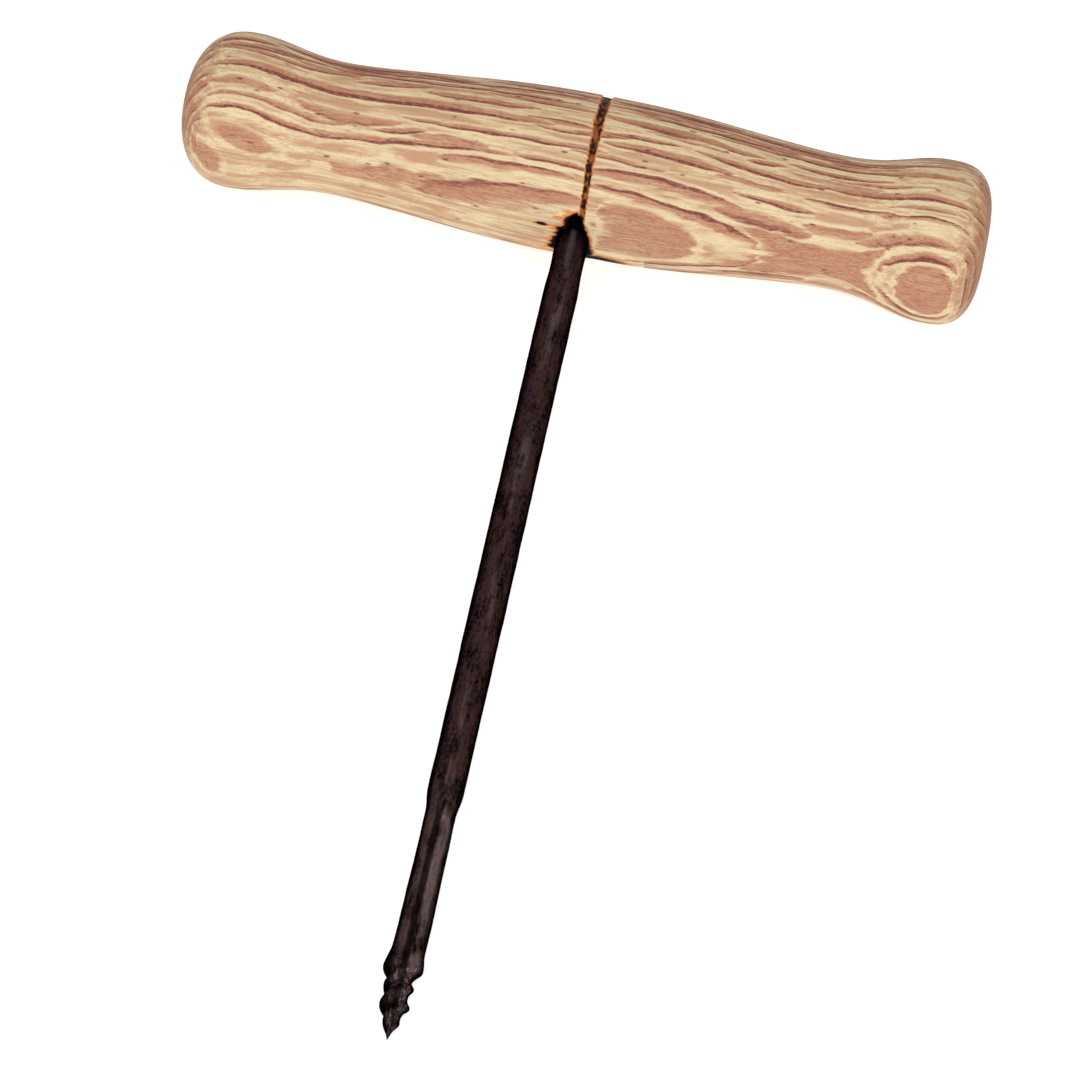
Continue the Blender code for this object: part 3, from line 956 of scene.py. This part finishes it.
def stored(board, name):
    """A value kept on the mesh's points; output 2 gives it as one number."""
    return board.add("ShaderNodeAttribute", {"attribute_name": name}, out=2)


# %% Wood
def wood_finish():
    """Clear satin over the wood's own colours, with fine relief along the grain."""
    finish, board, shader = new_finish("turned_wood_detail")
    where = board.parts(place_in_mm(board))
    ragged = cloud(board, where, 5, 0.45, 3, 3.0) - 0.5
    body, edge, rim = [stored(board, name) for name in ("body", "edge", "rim")]
    body = (body + ragged * 0.9 * body.rise(0, 0.3)).rise(0.10, 0.60)
    edge = (edge + ragged * 0.8 * edge.rise(0, 0.3)).rise(0.15, 0.75)

    fibre = cloud(board, where, 8, 0.38, 8, 3.0)
    soft = cloud(board, where, 26, 1.9, 10, 3.0)
    speckle = cloud(board, where, 1.2, 0.45, 9, 2.0)
    colour = tint(board, (0.6 * fibre + 0.4 * soft).rise(0.42, 0.64), STRAW, CREAM)
    colour = tint(board, soft.rise(0.58, 0.40) * 0.7, colour, TAN)
    colour = tint(board, rim * (1 - body) * 0.75, colour, CREAM)
    colour = tint(board, body * (0.85 + 0.9 * (fibre - 0.5)), colour, TAN)
    grain = (0.45 * speckle + 0.55 * fibre).rise(0.42, 0.60)
    colour = tint(board, body * body * grain * 0.62, colour, PLUM)
    colour = tint(board, edge * (0.9 + 0.9 * (fibre - 0.5)), colour, PLUM)
    colour = tint(board, edge * edge * speckle.rise(0.30, 0.55) * 0.85, colour, DARK_LINE)
    colour = tint(board, speckle.rise(0.55, 0.70) * 0.30, colour, PLUM)
    colour = tint(board, pores(board, where) * 0.75, colour, DARK_LINE)
    end = (where[0] + LEFT_ARM / MM).least(RIGHT_ARM / MM - where[0])
    toasted = (1 - end.rise(0.3, 6.0)) * (0.6 + 0.8 * soft)
    colour = tint(board, toasted * 0.7, colour, TOASTED)

    charred, scorched, torn_and_lit = burns(board, where)
    # pale patches by the mouth: torn fibres and a painted highlight on the mouth's lit wall
    colour = tint(board, torn_and_lit, colour, CREAM)
    colour = tint(board, scorched.rise(0, 0.5) * 0.95, colour, SCORCH)
    colour = tint(board, scorched.rise(0.5, 1.0), colour, EMBER)
    colour = tint(board, charred, colour, CHAR)
    board.put(shader.inputs["Base Color"], colour)
    rough = 0.52 + 0.12 * fibre + 0.08 * body
    board.put(shader.inputs["Roughness"], blend(rough, 0.85, charred))
    shader.inputs["Specular IOR Level"].default_value = 0.25

    cracks = cloud(board, where, 2.2, 0.8, 12, 3.0)
    relief = 0.3 * fibre - charred * cracks * 1.4 - 0.12 * speckle
    bump = board.add("ShaderNodeBump", values={"Height": relief, "Strength": 0.7,
                                               "Distance": 0.25 * MM})
    board.put(shader.inputs["Normal"], bump)
    return finish


def pores(board, where):
    """Small dark flecks, drawn out along the grain."""
    x, y, z = where
    cells = board.add("ShaderNodeTexVoronoi", {"feature": 'F1'}, {
        "Vector": board.vector(x / 5.0, y / 1.7, z / 1.7), "Scale": 1.0, "Randomness": 1.0})
    distance, shade = board.outputs(cells)[:2]
    chosen = board.parts(shade)[0].above(0.80)
    return (1 - distance.rise(0.10, 0.24)) * chosen


def burns(board, where):
    """Charcoal, the scorched rim round it, and pale patches beside the mouth: torn fibres, and a painted
    highlight where the mouth's wall catches the light.
    """
    rag = cloud(board, where, 1.3, 0.8, 20, 3.0) - 0.5
    fibres = cloud(board, where, 6.0, 1.0, 21, 2.0) - 0.5
    mouth = stored(board, "burn") + rag * 0.9 + fibres * 0.5
    blots = cloud(board, where, 1.8, 1.8, 22, 2.0)
    groove = stored(board, "groove") + rag * 1.2 + fibres * 0.4
    blotted = groove.rise(0.05, 0.45) * (0.45 + 0.5 * blots.rise(0.38, 0.56))
    charred = mouth.rise(-0.05, 0.12).most(blotted)
    lick = (fibres + 0.5).rise(0.42, 0.60) * (0 - where[0]).rise(0, 3)
    licked = (mouth + lick * 2.2).rise(-1.5, -0.4) * 0.5
    scorched = mouth.rise(-1.3, 0.1).most(licked).most(groove.rise(-0.3, 0.3) * (0.35 + 0.9 * blots))
    # pale patches round the mouth: torn fibres and a painted highlight on the lit wall of the mouth
    torn_and_lit = mouth.rise(-3.4, -1.2) * (fibres + 0.5).rise(0.34, 0.50) * 0.9
    return charred, scorched, torn_and_lit


wood = wood_finish()
handle.data.materials.clear()
handle.data.materials.append(wood)

# %% [markdown]
# ### Black forged iron
# Iron from the fire keeps a skin of black oxide.  It is mottled brown and plum, a little shiny
# on the high places and dull in the pits.  Three noises, drawn out along the bar as a hammer and
# a file leave them, mix those colours.  Where the mottling goes is painted light: it lies on the
# side that faces up as the tool lies, towards the lamps, and the sides stay black as painted
# shade.  A broken grey painted highlight runs along that side, on the nose and in its flute, a
# stripe of painted shade lies along the arris, and the head and rove get the mottling and grey
# patches all round.  The bar is darker beside the burnt mouth.

# %% Iron
OXIDE = paint(19, 16, 17)
PLUM_OXIDE = paint(82, 60, 63)
RUST = paint(104, 68, 50)
# the grey of the painted highlight on the iron
HIGHLIGHT_GREY = paint(150, 130, 130)
NOSE_TOP = -REACH / MM + 66     # millimetres; the nose below this gets more painted highlight on its lit side
SCREW_TOP = -REACH / MM + 19
DARKER_TO_MOUTH = (-31.0, -22.0)           # the bar is darker from here up to the mouth: the lit-side mottling fades out
HEAD_AND_ROVE_RAMP = (8, 16)              # from here up the tang's head and the rove get the mottling and grey highlight patches all round
ARRIS_SIDE = math.radians(-93)  # the sharp edge beside the flute, where a dark stripe of painted shade goes
# the side that faces up as the tool lies, towards the lamps; painted light goes on this side
LIT_SIDE = math.radians(-84)


def facing(where, side, start, end):
    """1 on the bar's side that faces this way, 0 away from it."""
    x, y, z = where
    share = (x * math.cos(side) + y * math.sin(side)) / (x * x + y * y + 0.01) ** 0.5
    return share.rise(start, end)


def iron_finish(name, highlight_strength):
    """Black oxide with painted light; the second argument sets how strong the painted grey highlight is
    along the lit side.
    """
    finish, board, shader = new_finish(name)
    where = board.parts(place_in_mm(board))
    z = where[2]
    nose = 1 - z.rise(NOSE_TOP - 4, NOSE_TOP + 6)
    # painted light: the brown and plum mottling goes only on the side facing the lamps, so the sides
    # stay black as painted shade; it fades out towards the mouth, and the head and rove get it all round
    lit_side_and_head = facing(where, LIT_SIDE, 0.35, 0.85) * (1 - z.rise(*DARKER_TO_MOUTH))
    lit_side_and_head = lit_side_and_head.most(z.rise(*HEAD_AND_ROVE_RAMP) * 0.8)
    # painted highlight along the bottom of the flute, on the nose
    flute_highlight = facing(where, FLUTE_SIDE, 0.91, 0.985) * nose
    # painted shade along the arris
    arris_shade = facing(where, ARRIS_SIDE, 0.96, 0.995) * nose
    blotch = cloud(board, where, 9, 3.2, 31, 3.0, "z")
    streak = cloud(board, where, 7, 0.7, 32, 3.0, "z")
    grit = cloud(board, where, 1.2, 0.6, 33, 3.0, "z")
    colour = tint(board, lit_side_and_head * (0.5 * blotch + 0.5 * grit).rise(0.36, 0.60), OXIDE, PLUM_OXIDE)
    colour = tint(board, lit_side_and_head * streak.rise(0.50, 0.66) * 0.5, colour, RUST)
    # painted highlight: a broken grey streak along the lit side, grey patches on the nose's lit side and
    # in the flute, and grey patches all round the head and rove
    patchy = cloud(board, where, 22, 4.0, 34, 2.0, "z").rise(0.45, 0.62)
    crest = facing(where, LIT_SIDE, 0.94, 1.0) * patchy + z.rise(*HEAD_AND_ROVE_RAMP)
    highlight_share = (crest * highlight_strength + nose * lit_side_and_head * 0.22 + flute_highlight * 0.42) * (0.3 + 1.2 * grit)
    colour = tint(board, highlight_share * blotch.rise(0.34, 0.56), colour, HIGHLIGHT_GREY)
    # painted shade: a dark stripe along the arris beside the flute
    colour = tint(board, arris_shade * 0.85, colour, OXIDE)
    sooty_screw = (1 - z.rise(SCREW_TOP - 2, SCREW_TOP + 2)) * (1 - grit.rise(0.50, 0.62))
    colour = tint(board, sooty_screw * 0.75, colour, OXIDE)
    board.put(shader.inputs["Base Color"], colour)
    board.put(shader.inputs["Roughness"], 0.30 + 0.25 * grit + 0.15 * streak)
    shader.inputs["Metallic"].default_value = 1.0
    shader.inputs["Specular Tint"].default_value = (0.05, 0.05, 0.05, 1)
    relief = 0.8 * grit + 0.8 * streak + 0.8 * blotch
    bump = board.add("ShaderNodeBump", values={"Height": relief, "Strength": 0.7,
                                               "Distance": 0.4 * MM})
    board.put(shader.inputs["Normal"], bump)
    return finish


iron = iron_finish("forged_iron_detail", highlight_strength=0.35)

# %% [markdown]
# ### Growing the shank
# A Geometry Nodes modifier on an empty mesh grows the bar.  Its sizes are set by each input's
# identifier before anything is worked out, so it is only ever made once.  The result is kept
# as a plain mesh and the modifier is dropped, because a plain mesh travels to other programs.

# %% Make the shank from its tree
def grow(name, tree, values):
    """Run a geometry tree on an empty mesh and keep the result as a plain mesh."""
    piece = new_piece(name, bpy.data.meshes.new(name))
    step = piece.modifiers.new("grow", 'NODES')
    step.node_group = tree
    for item in tree.interface.items_tree:
        if item.in_out == 'INPUT' and item.name in values:
            step[item.identifier] = values[item.name]
    seen = piece.evaluated_get(bpy.context.evaluated_depsgraph_get())
    mesh = bpy.data.meshes.new_from_object(seen)
    piece.modifiers.clear()
    piece.data = mesh
    return piece


shank = grow("shank", shank_tree(), {**SHANK_SIZES, "Finish": iron})
face_outwards(shank.data)
shank.data.transform(TO_GROUND)
print("shank:", len(shank.data.polygons), "faces")

# %% [markdown]
# ## The rove
# The rove is the washer that the tang's end is hammered over, so the handle can't pull off.  A
# smith punches it from thin plate, so its edges are rounded and its rim is uneven.  It is a
# short stack of rings with the tang's square hole cut through it.

# %% Rove
ROVE_SIDES = 96


def rove_ring(height, inset):
    """One ring of the rove, with its uneven rim drawn in by the inset."""
    def rim(angle):
        return (ROVE_RADIUS - inset) * (1 + 0.008 * np.sin(5 * angle + 1))
    return ring(height, rim, ROVE_SIDES)


def make_rove():
    """A short stack of rings with the tang's hole cut through it."""
    low = SEAT_HEIGHT + 0.1 * MM
    high = low + ROVE_THICKNESS
    rings = [rove_ring(low, 0.3 * MM), rove_ring(low + 0.3 * MM, 0),
             rove_ring(high - 0.5 * MM, 0), rove_ring(high - 0.15 * MM, 0.2 * MM),
             rove_ring(high, 0.7 * MM)]
    rove = new_piece("rove", net(np.stack(rings), "rove"))
    face_outwards(rove.data)
    through = [ring(low - 1 * MM, high_hole, ROVE_SIDES), ring(high + 1 * MM, high_hole, ROVE_SIDES)]
    cut_with(rove, net(np.stack(through), "rove_hole"))
    rove.data.set_sharp_from_angle(angle=math.radians(40))
    rove.data.transform(TO_GROUND)
    rove.data.materials.clear()
    rove.data.materials.append(iron_finish("rove_iron_detail", highlight_strength=0.6))
    return rove


rove = make_rove()

# %% [markdown]
# ## Hide the imported pieces and attach the detailed ones
# Each detailed piece takes the place of its imported node, which is hidden.  Nothing moves on this
# tool, so all three ride on the one body.

# %% Hand the pieces over
for piece, node, slot in ((handle, "wooden_handle", "turned_wood"),
                          (shank, "forged_shank", "forged_iron"),
                          (rove, "tang_rove", "rove_iron")):
    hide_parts(node)
    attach(piece, "root")
